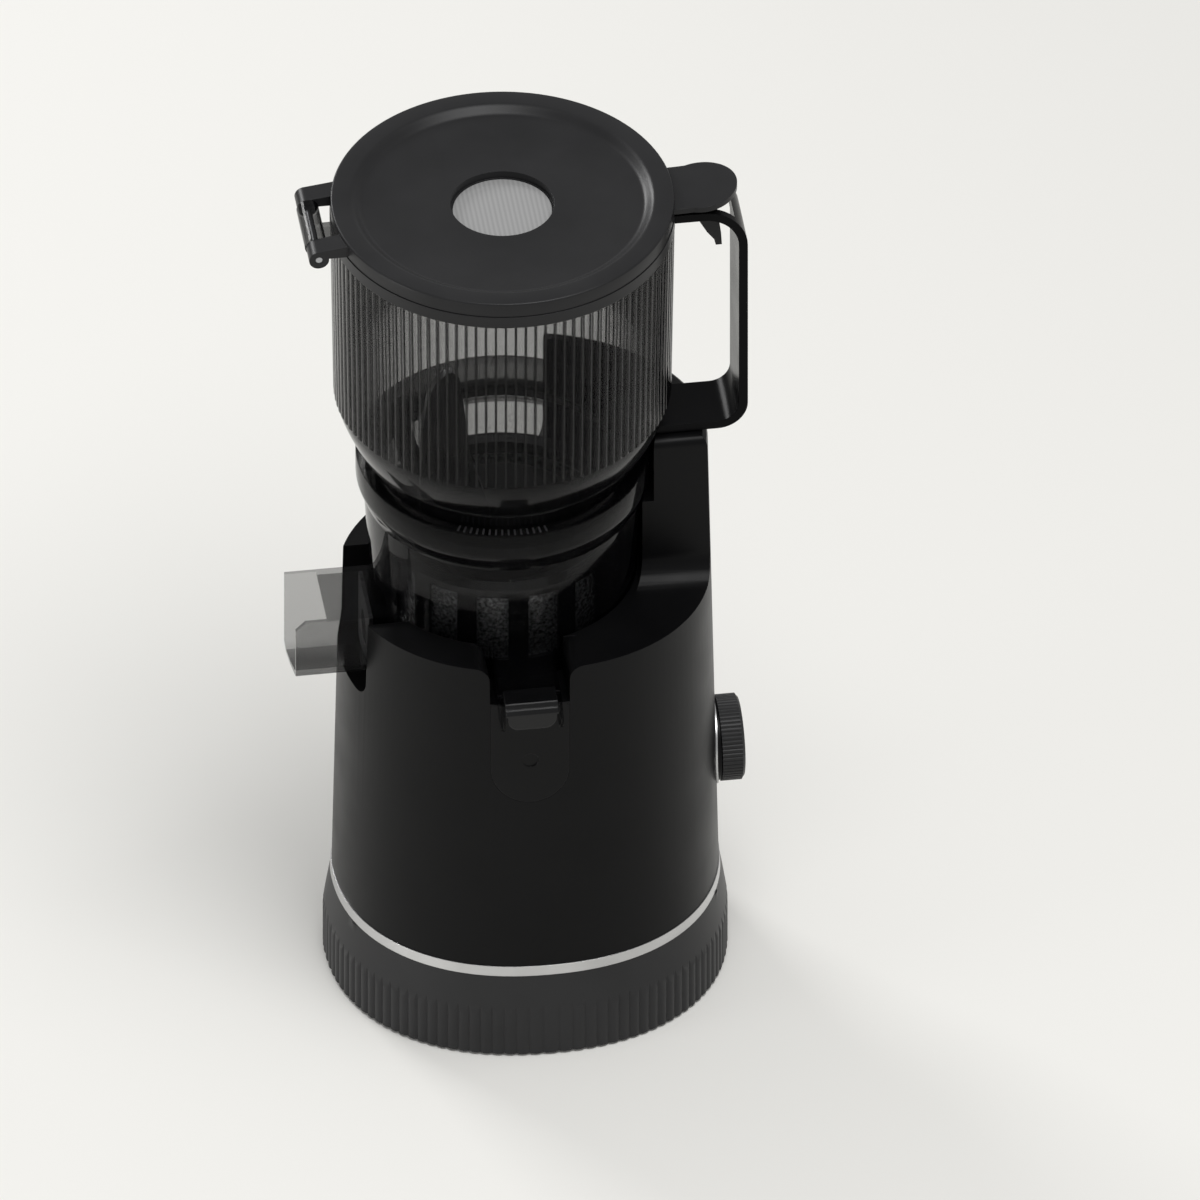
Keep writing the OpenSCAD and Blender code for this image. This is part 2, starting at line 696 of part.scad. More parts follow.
module gear_plate() color("#8f9193") at_base() difference() {
    translate([0, 0, gear_plate_z]) linear_extrude(gear_plate_t)
        polygon(plan(half_w_at(gear_z), column_wall + fit));
    on_motor_axis(gear_plate_z - over)
        cylinder(r = motor_shaft_r + gear_gap, h = gear_plate_t + 2 * over);
    on_idler_axis(gear_plate_z - over) cylinder(r = axle_r, h = gear_plate_t + 2 * over);
    gear_screw_places() translate([0, 0, gear_plate_z - over])
        cylinder(r = screw_shank_r, h = gear_plate_t + 2 * over);
}
cover_wall = 2.5;
cover_gap = 2;
cover_in_h = 2 * gear_gap + fast_t + gear_gap + slow_t + cover_gap;
cover_h = cover_in_h + cover_wall;
output_r = slow_module * (output_teeth / 2 + 1);
idler_r = fast_module * (idler_teeth / 2 + 1);
bush_wall = 3;
bush_h = 12;
module cover_form(grow, h) {
    on_drum_axis() cylinder(r = output_r + grow, h = h);
    on_idler_axis() cylinder(r = idler_r + grow, h = h);
    block([drum_x, -idler_r - grow, 0], [idler_x, idler_r + grow, h]);
}
module gear_cover() color("#3a3b3d") at_base() translate([0, 0, gear_z]) difference() {
    union() {
        cover_form(cover_gap + cover_wall, cover_h);
        on_drum_axis(cover_in_h) cylinder(r = shaft_r + 2 * bush_wall, h = bush_h);
    }
    translate([0, 0, -over]) cover_form(cover_gap, cover_in_h + over);
    on_drum_axis() cylinder(r = shaft_r + bush_wall, h = big);
    on_idler_axis() cylinder(r = axle_r, h = big);
}
module gear_screws() color("#8d8d8d") at_base() gear_screw_places() {
    translate([0, 0, gear_z]) cylinder(r = screw_head_r, h = gear_plate_t / 2);
    translate([0, 0, gear_plate_z - gear_plate_t]) cylinder(r = screw_shank_r, h = 2 * gear_plate_t + over);
}
module idler_gears() color("#d8d3c4") at_base() on_idler_axis(fast_z) difference() {
    union() {
        gear(idler_teeth, fast_module, fast_t, axle_r, 180 / idler_teeth);
        translate([0, 0, fast_t - over]) linear_extrude(2 * gear_gap + slow_t + over)
            polygon(gear_outline(small_teeth, slow_module));
    }
    translate([0, 0, -over]) cylinder(r = axle_r + pin_run, h = big);
}
module idler_axle() color("#b0b2b4") at_base()
    on_idler_axis(gear_plate_z) cylinder(r = axle_r, h = gear_plate_t + cover_h);
module output_gear() color("#d8d3c4") at_base()
    on_drum_axis(slow_z) gear(output_teeth, slow_module, slow_t, shaft_r, 180 / output_teeth);
drum_floor_t = 3;
drum_floor_z = drum_z0 + drum_floor_t;
drive_hex_h = 34;
module drive_shaft() color("#aeb0b2") at_base() on_drum_axis() {
    translate([0, 0, slow_z]) cylinder(r = shaft_r, h = drum_floor_z - slow_z);
    translate([0, 0, drum_floor_z]) cylinder(r = hex_af / sqrt(3), h = drive_hex_h, $fn = 6);
}
module output_bush() color("#b08d57") at_base()
    on_drum_axis(gear_z + cover_in_h) tube(shaft_r + bush_wall, shaft_r + pin_run, bush_h);

// Drum: a cup with a bayonet neck, a hub round the shaft, a juice spout and a pulp chute
drum_top_z = deck_z + drum_rise;
neck_in = 3;
neck_r = drum_top_r - neck_in;
neck_h = 13;
neck_top_z = drum_top_z + neck_h;
neck_in_r = neck_r - drum_wall;
drum_low_r = drum_r - well_gap;
lug_t = 4;
lug_play = 5;
lug_angle = lock_turn - lug_play;
lug_in = 1.8;
lug_r = neck_r + lug_in;
lug_gap = 1.5;
drum_lug_z = drum_top_z + lug_t + lug_gap;
hub_r = 11;
hub_h = 14;
seal_r = 9;
spout_half_w = spout_w / 2;
// The spout's side outline: top edge sloping to the cheeks, a lip that drops below the floor
spout_drop = 7.5;
lip_t = 3.5;
lip_l = 12;
cheek_l = 4;
cheek_y = spout_y + cheek_l;
spout_lip_z = spout_floor - lip_t;
spout_root_y = -drum_low_r + spout_half_w;
cap_pin_r = 1.2;
cap_barrel_r = 2.8;
cap_y = cheek_y + lip_l - cap_barrel_r;
cap_top_z = spout_top - spout_drop * (cap_y + drum_r) / (cheek_y + drum_r);
cap_z = cap_top_z - cap_barrel_r;
cap_low_z = cap_z - cap_barrel_r;
module drum_solid() rotate_extrude() polygon([[0, drum_z0], [drum_low_r, drum_z0], [drum_r, deck_z],
    [drum_top_r, drum_top_z], [neck_r, drum_top_z], [neck_r, neck_top_z], [0, neck_top_z]]);
module drum_space() rotate_extrude() polygon([[0, drum_floor_z], [drum_low_r - drum_wall, drum_floor_z],
    [drum_r - drum_wall, deck_z], [neck_in_r, drum_top_z - drum_wall], [neck_in_r, neck_top_z + over],
    [0, neck_top_z + over]]);
module spout_outline() polygon([[spout_root_y, spout_floor], [spout_root_y, spout_top],
    [-drum_r, spout_top], [cheek_y, spout_top - spout_drop], [spout_y, spout_top - 2 * spout_drop],
    [spout_y, spout_lip_z], [spout_y + lip_l, spout_lip_z], [spout_y + lip_l + lip_t, spout_floor]]);
module spout_space() {
    half = spout_half_w - spout_wall;
    // Channel from the drum to the lip
    along_x(-half, half) polygon([[spout_root_y + spout_wall, spout_floor + spout_wall],
        [spout_root_y + spout_wall, spout_top - 2 * spout_wall], [-drum_r, spout_top - 2 * spout_wall],
        [cap_y, cap_low_z], [cap_y, spout_floor + spout_wall]]);
    // Mouth through the lip, and room for the flip cap between the cheeks
    block([-half, spout_y - over, spout_lip_z - over], [half, cap_y, spout_top]);
    block([-half, cap_y - over, cap_low_z - fit], [half, cap_y + cap_barrel_r + 2 * fit, spout_top + over]);
}
// The chute's outline: a flat top and a floor that falls to the back, as shares of width and height
chute_shares = [[0, 0.263], [0.07, 0.23], [0.476, 0.087], [0.843, 0], [1, 0.03]];
chute_bevel = 6;
module chute_outline(grow) {
    y0 = chute_front + grow;
    y1 = chute_rear - grow;
    polygon(concat([[y1, chute_top - grow], [y0, chute_top - grow]],
        [for (p = chute_shares) [y0 + p[0] * (y1 - y0), chute_floor_z + grow + p[1] * chute_drop]]));
}
module drum() color([0.12, 0.12, 0.13, 0.55]) at_base() {
    difference() {
        union() {
            on_drum_axis() {
                drum_solid();
                along_x(-spout_half_w, spout_half_w) spout_outline();
                for (i = [0 : 2]) translate([0, 0, drum_lug_z]) rotate(120 * i)
                    rotate_extrude(angle = lug_angle)
                        translate([neck_r - over, 0]) square([lug_in + over, lug_t]);
            }
            along_x(-chute_reach, chute_end_x) chute_outline(0);
        }
        on_drum_axis() {
            drum_space();
            spout_space();
            translate([0, 0, drum_z0 - over]) cylinder(r = seal_r, h = drum_floor_t + 2 * over);
            translate([-spout_w, cap_y, cap_z]) rotate([0, 90, 0]) cylinder(r = cap_pin_r, h = 2 * spout_w);
        }
        difference() {
            along_x(-chute_reach - over, chute_end_x - chute_wall) chute_outline(chute_wall);
            on_drum_axis() cylinder(r = strainer_r, h = big);
        }
        along_y(chute_front - over, chute_front + chute_wall + over)
            polygon([[-chute_reach - over, chute_top + over], [-chute_reach - over, chute_top - chute_bevel],
                     [-chute_reach + chute_bevel, chute_top + over]]);
        // The top cover stops short of the open end
        block([-chute_reach - over, chute_front + chute_wall, chute_top - chute_wall - over],
              [-chute_reach + chute_cutback, chute_rear - chute_wall, chute_top + over]);
    }
    on_drum_axis(drum_z0) tube(hub_r, seal_r, hub_h);
}
module drum_seal() color("#3b3b3c") at_base() on_drum_axis(drum_z0) tube(seal_r, shaft_r + fit, hub_h);
// Silicone gate that fills the chute where it leaves the drum
gate_x = drum_x - drum_r - 2 * chute_wall;
gate_hole_r = 9;
module pulp_gate() color("#8b8b8d") at_base() along_x(gate_x - chute_wall, gate_x) difference() {
    chute_outline(chute_wall);
    translate([(chute_front + chute_rear) / 2, chute_top - chute_drop / 2]) circle(r = gate_hole_r);
}
// Flip cap on a pin between the spout's cheeks
cap_t = 2;
cap_slope = 1.2;
cap_tongue_r = 6;
cap_tongue_w = spout_half_w - spout_wall - cap_slope;
cap_half_w = spout_half_w - spout_wall - fit;
cap_front_y = spout_y + fit;
module spout_cap() color("#1d1d1e") at_base() on_drum_axis() difference() {
    union() {
        translate([-cap_half_w, cap_y, cap_z]) rotate([0, 90, 0])
            cylinder(r = cap_barrel_r, h = 2 * cap_half_w);
        along_x(-cap_half_w, cap_half_w) polygon([[cap_y, cap_top_z],
            [cheek_y, cap_top_z - cap_slope], [cap_front_y, cap_low_z], [cap_front_y, cap_low_z - over],
            [cap_front_y + cap_t, cap_low_z - over], [cap_front_y + cap_t, cap_low_z + cap_t],
            [cheek_y + cap_t, cap_top_z - cap_slope - cap_t], [cap_y, cap_top_z - cap_t]]);
        along_y(cap_front_y, cap_front_y + cap_t) polygon(concat(
            arc(cap_tongue_r - cap_tongue_w, spout_lip_z + cap_tongue_r, cap_tongue_r, 180, 270),
            arc(cap_tongue_w - cap_tongue_r, spout_lip_z + cap_tongue_r, cap_tongue_r, 270, 360),
            [[cap_tongue_w, cap_low_z - over / 2], [-cap_tongue_w, cap_low_z - over / 2]]));
    }
    translate([-spout_w, cap_y, cap_z]) rotate([0, 90, 0])
        cylinder(r = cap_pin_r + pin_run, h = 2 * spout_w);
}
module cap_pin() color("#a8a8aa") at_base() on_drum_axis() translate([-spout_half_w, cap_y, cap_z])
    rotate([0, 90, 0]) cylinder(r = cap_pin_r, h = spout_w);
module cap_seal() color("#6f6f71") at_base() on_drum_axis()
    block([-cap_half_w + cap_t, cap_front_y + cap_t, spout_floor + over],
          [cap_half_w - cap_t, cap_front_y + cap_t + over, cap_low_z]);

// Strainer: a windowed cup with a fine mesh sleeve inside
strainer_t = 2;
strainer_drop = 17.5;
strainer_z1 = drum_top_z - strainer_drop;
strainer_in_r = strainer_r - strainer_t;
window_foot = 20;
window_head = 9;
window_z0 = drum_floor_z + window_foot;
window_z1 = strainer_z1 - window_head;
window_half_w = 8;
mesh_t = 0.6;
port_half_w = 9;
chute_mid = (chute_front + chute_rear) / 2;
module strainer() color("#2a2a2c") at_base() on_drum_axis() difference() {
    union() {
        translate([0, 0, drum_floor_z]) cylinder(r = strainer_r, h = strainer_z1 - drum_floor_z);
        translate([0, 0, strainer_z1 - strainer_t]) cylinder(r = neck_in_r - fit, h = strainer_t);
    }
    translate([0, 0, drum_floor_z + strainer_t]) cylinder(r = strainer_in_r, h = big);
    translate([0, 0, drum_floor_z - over]) cylinder(r = hub_r + fit, h = big);
    for (i = [0 : strainer_windows - 1]) rotate(360 * i / strainer_windows)
        block([strainer_r / 2, -window_half_w, window_z0], [big, window_half_w, window_z1]);
    // Port through which the pulp leaves to the chute
    block([-big, chute_mid - port_half_w, drum_floor_z + strainer_t],
          [-strainer_r / 2, chute_mid + port_half_w, window_z0 - 2 * strainer_t]);
}
module strainer_mesh() color("#a9abad") at_base() on_drum_axis(window_z0 - strainer_t)
    tube(strainer_in_r, strainer_in_r - mesh_t, window_z1 - window_z0 + 2 * strainer_t);

// Screw: a tapering core with two helical flights and a hexagonal socket
auger_z0 = drum_floor_z + strainer_t + over;
auger_drop = 8;
auger_z1 = strainer_z1 - auger_drop;
auger_foot_h = 20;
auger_top_r = 24;
flight_root_r = 20;
flight_t = 5;
flight_steps = 36;
flight_z0 = auger_z0 + over;
flight_rise = auger_z1 - flight_z0 - 4 * flight_t;
socket_gap = 0.3;
function turn(r, a, z) = [r * cos(a), r * sin(a), z];
// One helical flight: rings of four points swept round the core
module flight(start) {
    n = round(flight_steps * screw_turns);
    points = [for (i = [0 : n])
        let (a = start - 360 * screw_turns * i / n, z = flight_z0 + flight_rise * i / n)
        each [turn(flight_root_r, a, z), turn(screw_r, a, z + flight_t / 4),
              turn(screw_r, a, z + 3 * flight_t / 4), turn(flight_root_r, a, z + 2 * flight_t)]];
    polyhedron(points, concat([[0, 1, 2, 3]],
        [for (i = [0 : n - 1]) for (j = [0 : 3])
            let (a = 4 * i + j, b = 4 * i + (j + 1) % 4) each [[a, a + 4, b + 4], [a, b + 4, b]]],
        [[4 * n + 3, 4 * n + 2, 4 * n + 1, 4 * n]]), convexity = 6);
}
module auger() color("#232325") at_base() on_drum_axis() difference() {
    union() {
        rotate_extrude() polygon([[0, auger_z0], [screw_core_r, auger_z0],
            [screw_core_r - strainer_t, auger_z0 + auger_foot_h], [auger_top_r, auger_z1], [0, auger_z1]]);
        for (start = [0, 180]) flight(start);
    }
    translate([0, 0, auger_z0 - over])
        cylinder(r = hub_r + 2 * fit, h = drum_z0 + hub_h - auger_z0 + 2 * over);
    translate([0, 0, auger_z0])
        cylinder(r = (hex_af + socket_gap) / sqrt(3), h = drum_floor_z + drive_hex_h + over - auger_z0,
            $fn = 6);
}
// Feed blade on the screw's head: a tall leaf and two low arms, as shares of the hub's
// radius and of the leaf's height
blade_t = 5;
blade_hub_r = 44;
blade_hub_t = 5;
blade_shares = [[-0.92, 0], [-0.94, 0.3], [-0.92, 0.62], [-0.86, 0.84], [-0.76, 0.94], [-0.64, 0.99],
    [-0.57, 1], [-0.5, 0.96], [-0.45, 0.8], [-0.38, 0.5], [-0.3, 0.34], [-0.2, 0.2], [-0.1, 0]];
arm_shares = [[0.45, 0], [0.78, 0.12], [1.06, 0.34], [1.22, 0.58], [1.3, 0.62], [1.34, 0.58], [1.32, 0.42],
    [1.2, 0.22], [1.06, 0.09], [0.98, 0]];
module blade_plate(shares, turned) rotate(turned) along_y(-blade_t / 2, blade_t / 2)
    polygon([for (p = shares) [p[0] * blade_hub_r, auger_z1 + over + p[1] * blade_h]]);
module feed_blade() color("#161617") at_base() on_drum_axis() {
    translate([0, 0, auger_z1]) cylinder(r1 = blade_hub_r, r2 = blade_hub_r - over, h = blade_hub_t);
    blade_plate(blade_shares, 0);
    blade_plate(arm_shares, 150);
    blade_plate(arm_shares, -60);
}

// Hopper: a neck inside the collar, a rounded bowl and a fluted wall
collar_z0 = drum_top_z + fit;
collar_z1 = collar_z0 + collar_h;
collar_in_r = lug_r + fit;
collar_edge = 1;
neck_step = 9;
hopper_neck_r = collar_r - neck_step;
hopper_z0 = neck_top_z + fit;
bowl_dip = 3;
bowl_z0 = collar_z1 - bowl_dip;
bowl_z1 = bowl_z0 + bowl_h;
bowl_power_share = 1.4;
bowl_steps = 14;
throat_r = hopper_neck_r - hopper_wall;
throat_h = 15;
throat_step = 2.5;
throat_steps = 5;
seat_in_r = neck_in_r - fit - lug_t;
rim_z0 = bowl_z1 + fluted_h;
rim_z1 = rim_z0 + rim_h;
rim_step = 0.2;
rim_out_r = hopper_top_r + rim_step;
rim_in_r = hopper_top_r - hopper_wall;
bowl_top_r = hopper_r - hopper_flute_d - rim_step;
function bowl_r(step) =
    bowl_top_r - (bowl_top_r - hopper_neck_r) * pow(1 - step / bowl_steps, bowl_power_share);
function bowl_step_z(step) = bowl_z0 + bowl_h * step / bowl_steps;
function bowl_points(inset, first) = [for (k = [first : bowl_steps]) [bowl_r(k) - inset, bowl_step_z(k)]];
function wall_r(z) = hopper_r + (hopper_top_r - hopper_r) * (z - bowl_z1) / fluted_h;
module bowl_solid() rotate_extrude()
    polygon(concat([[0, hopper_z0], [hopper_neck_r, hopper_z0]], bowl_points(0, 0),
        [[bowl_top_r, bowl_z1 + over], [0, bowl_z1 + over]]));
module hopper() color([0.2, 0.2, 0.21, 0.45]) at_base() on_drum_axis() intersection() {
    skin([for (z = [hopper_z0 - over, rim_z0 + over])
        lift(ribbed_round(wall_r(z), hopper_flutes, hopper_flute_d), z)]);
    rotate_extrude() polygon(concat([[seat_in_r, hopper_z0], [hopper_neck_r, hopper_z0]], bowl_points(0, 0),
        [[hopper_top_r + over, bowl_z1], [hopper_top_r + over, rim_z0], [rim_in_r, rim_z0]],
        [for (k = [bowl_steps : -1 : throat_steps]) [bowl_r(k) - hopper_wall, bowl_step_z(k)]],
        [[throat_r + 3 * throat_step, hopper_z0 + throat_h + 2 * throat_step],
         [throat_r + throat_step, hopper_z0 + throat_h + throat_step], [throat_r, hopper_z0 + throat_h],
         [throat_r, hopper_z0 + lug_t], [seat_in_r, hopper_z0 + lug_t]]));
}
module hopper_seal() color("#3b3b3c") at_base() on_drum_axis(hopper_z0 - lug_t)
    tube(neck_in_r - fit, seat_in_r, lug_t);
module hopper_rim() color("#1d1d1e") at_base() on_drum_axis(rim_z0) tube(rim_out_r, rim_in_r, rim_h);
// Collar: a smoked ring round the neck with three bayonet lugs at its foot
module locking_collar() color([0.12, 0.12, 0.13, 0.55]) at_base() on_drum_axis() {
    difference() {
        rotate_extrude() polygon(concat(
            [[0, collar_z0], [drum_top_r + fit, collar_z0]],
            arc(collar_r - collar_h / 2, collar_z0 + collar_h / 2, collar_h / 2, -40, 0),
            arc(collar_r - collar_edge, collar_z1 - collar_edge, collar_edge, 0, 90, 3),
            [[0, collar_z1]]));
        translate([0, 0, collar_z0 - over]) cylinder(r = collar_in_r, h = hopper_z0 - collar_z0 + over);
        bowl_solid();
    }
    for (i = [0 : 2]) translate([0, 0, collar_z0]) rotate(120 * i) rotate_extrude(angle = lug_angle)
        translate([neck_r + fit, 0]) square([lug_in + fit, lug_t]);
}

// Lid: a dished disc with a plug, a glass window, two hinge ears and a recess for the latch
lid_step = 0.2;
lid_r = hopper_top_r - lid_step;
lid_z0 = rim_z1 + lid_gap;
lid_z1 = lid_z0 + lid_t;
lid_edge = 1;
plug_gap = 1;
plug_r = rim_in_r - plug_gap;
plug_h = 3.5;
plug_t = 2.5;
skin_t = 2.4;
glass_t = 2.5;
glass_step = 1.2;
glass_r = window_r - glass_step;
glass_seat = 3;
dish_z = lid_z1 - dish_d;
glass_z1 = dish_z - window_drop;
glass_z0 = glass_z1 - glass_t;
dish_in = 9;
dish_r = lid_r - dish_in;
dish_bend = 7;
dish_steps = 10;
hinge_z = lid_z0 - 2 * fit;
hinge_x = drum_x - lid_r - hinge_out;
barrel_r = 5.6;
barrel_half_l = hinge_half_l - ear_l - fit;
web_half_w = 7;
latch_barrel_r = 2.4;
latch_pin_r = 1.2;
latch_in = 4.6;
latch_x = lid_r - latch_in;
latch_z = lid_z0 + fit + latch_barrel_r;
pin_overhang = 3.5;
latch_pin_half_l = paddle_half_w + pin_overhang;
recess_half_w = paddle_half_w + 2 * fit;
recess_z1 = latch_z + latch_barrel_r + over;
module on_hinge_axis(y0, y1, r) translate([hinge_x, y1, hinge_z])
    rotate([90, 0, 0]) cylinder(r = r, h = y1 - y0);
module on_latch_axis(y0, y1, r) translate([drum_x + latch_x, y1, latch_z])
    rotate([90, 0, 0]) cylinder(r = r, h = y1 - y0);
module ear(y0) {
    on_hinge_axis(y0, y0 + ear_l, ear_r);
    difference() {
        along_y(y0, y0 + ear_l) polygon([[hinge_x, hinge_z], [hinge_x, hinge_z + ear_r],
            [drum_x - dish_r, lid_z1 - lid_edge], [drum_x - dish_r, lid_z0], [hinge_x + ear_r, lid_z0]]);
        on_drum_axis(lid_z0 - over) cylinder(r = lid_r - lid_edge, h = lid_t + 2 * over);
    }
}
module lid() color("#1e1e1f") at_base() difference() {
    union() {
        on_drum_axis() rotate_extrude() polygon(concat(
            [[glass_r - glass_seat, glass_z0 - skin_t], [glass_r - glass_seat, glass_z0],
             [glass_r, glass_z0], [glass_r, glass_z1], [window_r, glass_z1], [window_r, dish_z]],
            [for (k = [0 : dish_steps]) [dish_r - dish_bend * (1 - k / dish_steps),
                lid_z1 - dish_d * (1 + cos(180 * k / dish_steps)) / 2]],
            arc(lid_r - lid_edge, lid_z1 - lid_edge, lid_edge, 90, 0, 4),
            [[lid_r, lid_z0], [plug_r, lid_z0], [plug_r, lid_z0 - plug_h],
             [plug_r - plug_t, lid_z0 - plug_h], [plug_r - plug_t, dish_z - skin_t],
             [window_r + glass_seat, dish_z - skin_t], [window_r + glass_seat, glass_z0 - skin_t]]));
        ear(-hinge_half_l);
        ear(hinge_half_l - ear_l);
    }
    on_hinge_axis(-hinge_half_l - over, hinge_half_l + over, hinge_pin_r + pin_run);
    on_drum_axis() {
        block([latch_x - latch_barrel_r - fit, -recess_half_w, lid_z0], [big, recess_half_w, recess_z1]);
        block([plug_r, -recess_half_w, lid_z0 - over], [big, recess_half_w, recess_z1]);
    }
    on_latch_axis(-latch_pin_half_l, latch_pin_half_l, latch_pin_r);
}
module lid_window() color([0.75, 0.76, 0.76, 0.6]) at_base()
    on_drum_axis(glass_z0) cylinder(r = glass_r, h = glass_t);
module lid_seal() color("#3b3b3c") at_base() on_drum_axis(lid_z0 - plug_h + over / 2)
    tube(plug_r + plug_gap - fit, plug_r, plug_h - over);
module hinge_barrel() color([0.2, 0.2, 0.21, 0.8]) at_base() difference() {
    union() {
        on_hinge_axis(-barrel_half_l, barrel_half_l, barrel_r);
        difference() {
            block([hinge_x, -web_half_w, rim_z0 + fit],
                  [drum_x - rim_in_r, web_half_w, hinge_z - barrel_r / 2]);
            on_drum_axis(rim_z0 - over) cylinder(r = rim_out_r, h = rim_h + 2 * over);
        }
    }
    on_hinge_axis(-hinge_half_l, hinge_half_l, hinge_pin_r);
}
module hinge_pin() color("#9b9d9f") at_base()
    on_hinge_axis(-hinge_half_l + fit, hinge_half_l - fit, hinge_pin_r);

// Handle: a strap with two bends, and a slot for the latch's finger
strap_z0 = tower_z + arm_gap;
strap_z1 = rim_z1 - fit;
slot_in = 30;
slot_out = 6;
slot_side = 4;
bend_steps = 12;
module handle() color("#19191a") at_base() on_drum_axis() difference() {
    top_x = handle_reach - bend_top_r;
    low_x = handle_reach - bend_low_r;
    along_y(-strap_w / 2, strap_w / 2) polygon(concat(
        [[hopper_neck_r, strap_z1]],
        arc(top_x, strap_z1 - bend_top_r, bend_top_r, 90, 0, bend_steps),
        arc(low_x, strap_z0 + bend_low_r, bend_low_r, 0, -90, bend_steps),
        [[hopper_neck_r, strap_z0], [hopper_neck_r, strap_z0 + strap_t]],
        arc(low_x, strap_z0 + bend_low_r, bend_low_r - strap_t, -90, 0, bend_steps),
        arc(top_x, strap_z1 - bend_top_r, bend_top_r - strap_t, 0, 90, bend_steps),
        [[hopper_neck_r, strap_z1 - strap_t]]));
    bowl_solid();
    translate([0, 0, rim_z0]) cylinder(r = rim_out_r, h = rim_h);
    block([handle_reach - slot_in, -finger_w / 2 - slot_side, strap_z1 - bend_top_r + strap_t],
          [handle_reach - slot_out, finger_w / 2 + slot_side, strap_z1 + over]);
}

// Latch: a thumb paddle with a curved finger that reaches through the handle's slot
spoon_r = 18;
paddle_reach = lid_r + paddle_out;
paddle_steps = 8;
function paddle_point(share, side) =
    [latch_x + (paddle_reach + over - latch_x) * share, latch_z + side + paddle_rise * pow(share, 2)];
spring_half_l = 3;
finger_in = 27;
finger_run = 14;
finger_shares = [[0, 0], [0.12, 0.3], [0.3, 0.5], [0.55, 0.72], [0.8, 0.88], [0.86, 1], [1.08, 1],
    [1.05, 0.75], [0.98, 0.5], [0.92, 0.25], [0.88, 0]];
module lid_latch() color("#202021") at_base() difference() {
    union() {
        on_latch_axis(-paddle_half_w, paddle_half_w, latch_barrel_r);
        on_drum_axis() intersection() {
            along_y(-big, big) polygon(concat(
                [for (k = [0 : paddle_steps]) paddle_point(k / paddle_steps, -paddle_t / 2)],
                [for (k = [paddle_steps : -1 : 0]) paddle_point(k / paddle_steps, paddle_t / 2)]));
            translate([0, 0, latch_z - paddle_t]) linear_extrude(big) {
                translate([latch_x, -paddle_half_w])
                    square([paddle_reach - spoon_r - latch_x, 2 * paddle_half_w]);
                translate([paddle_reach - spoon_r, 0]) circle(r = spoon_r);
            }
        }
        on_drum_axis() along_y(-finger_w / 2, finger_w / 2) polygon([for (p = finger_shares)
            [handle_reach - finger_in + p[0] * finger_run, latch_z - p[1] * finger_l]]);
    }
    on_latch_axis(-latch_pin_half_l, latch_pin_half_l, latch_pin_r + pin_run);
    on_drum_axis() block(
        [latch_x - 2 * latch_barrel_r, -spring_half_l - fit, latch_z - 2 * latch_barrel_r],
        [latch_x + latch_barrel_r + fit, spring_half_l + fit, latch_z + 2 * latch_barrel_r]);
}
module latch_pin() color("#9b9d9f") at_base()
    on_latch_axis(-latch_pin_half_l, latch_pin_half_l, latch_pin_r);
module latch_spring() color("#9b9d9f") at_base() difference() {
    on_latch_axis(-spring_half_l, spring_half_l, latch_barrel_r - fit);
    on_latch_axis(-spring_half_l - over, spring_half_l + over, latch_pin_r);
}

body_shell();
front_panel();
base_ring();
trim_ring();
base_plate();
feet();
base_screws();
cord_bush();
knob_ring();
knob();
rotary_switch();
control_board();
interlock_switch();
motor_case();
motor_stator();
motor_windings();
motor_bearings();
motor_rotor();
cooling_fan();
motor_pinion();
gear_plate();
gear_cover();
gear_screws();
idler_gears();
idler_axle();
output_gear();
drive_shaft();
output_bush();
drum();
drum_seal();
pulp_gate();
strainer();
strainer_mesh();
spout_cap();
cap_pin();
cap_seal();
auger();
feed_blade();
locking_collar();
hopper();
hopper_seal();
hopper_rim();
hinge_barrel();
hinge_pin();
handle();
lid();
lid_window();
lid_seal();
lid_latch();
latch_pin();
latch_spring();
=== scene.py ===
# Cold press juicer, dressed: a smoked hopper over the screw drum, on a black column with a fluted foot.
# Everything is in metres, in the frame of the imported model: +Z up, -Y to the front.
import json
import math

import bpy
from mathutils import Matrix, Vector


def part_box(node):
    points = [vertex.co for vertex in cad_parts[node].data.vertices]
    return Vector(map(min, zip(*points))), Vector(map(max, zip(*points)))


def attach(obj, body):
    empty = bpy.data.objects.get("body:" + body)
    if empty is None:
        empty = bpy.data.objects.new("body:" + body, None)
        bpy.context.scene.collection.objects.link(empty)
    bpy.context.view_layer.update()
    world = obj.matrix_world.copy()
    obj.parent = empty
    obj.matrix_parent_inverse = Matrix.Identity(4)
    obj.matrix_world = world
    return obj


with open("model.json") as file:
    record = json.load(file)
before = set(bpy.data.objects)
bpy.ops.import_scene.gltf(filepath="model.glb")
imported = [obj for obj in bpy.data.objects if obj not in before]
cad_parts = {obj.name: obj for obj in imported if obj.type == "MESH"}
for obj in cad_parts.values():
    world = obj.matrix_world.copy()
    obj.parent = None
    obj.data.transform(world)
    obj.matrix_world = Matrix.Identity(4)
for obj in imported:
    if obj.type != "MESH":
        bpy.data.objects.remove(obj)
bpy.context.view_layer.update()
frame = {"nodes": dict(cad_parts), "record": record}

MM = 0.001

# The upright axis that drum and hopper share, in millimetres
DRUM_X = -5.9
DRUM_Y = 10.785

# The hopper's wall has this many flutes, which start at this height in millimetres
FLUTES = 106
FLUTES_FROM = 349.8
# The valley between two flutes: half its share of a flute's width, and the painted shade that it adds, a
# dark line in each valley
VALLEY_HALF = 0.11
VALLEY_PAINTED_SHADE = 0.5

# The pulp chute lies left of CHUTE_X, in millimetres, and its thin walls keep this share of the drum's tint
CHUTE_X = -84
CHUTE_FADE = 3
CHUTE_SHARE = 0.88

# A noise pattern's values lie mostly between these two
NOISE_LOW = 0.3
NOISE_HIGH = 0.7
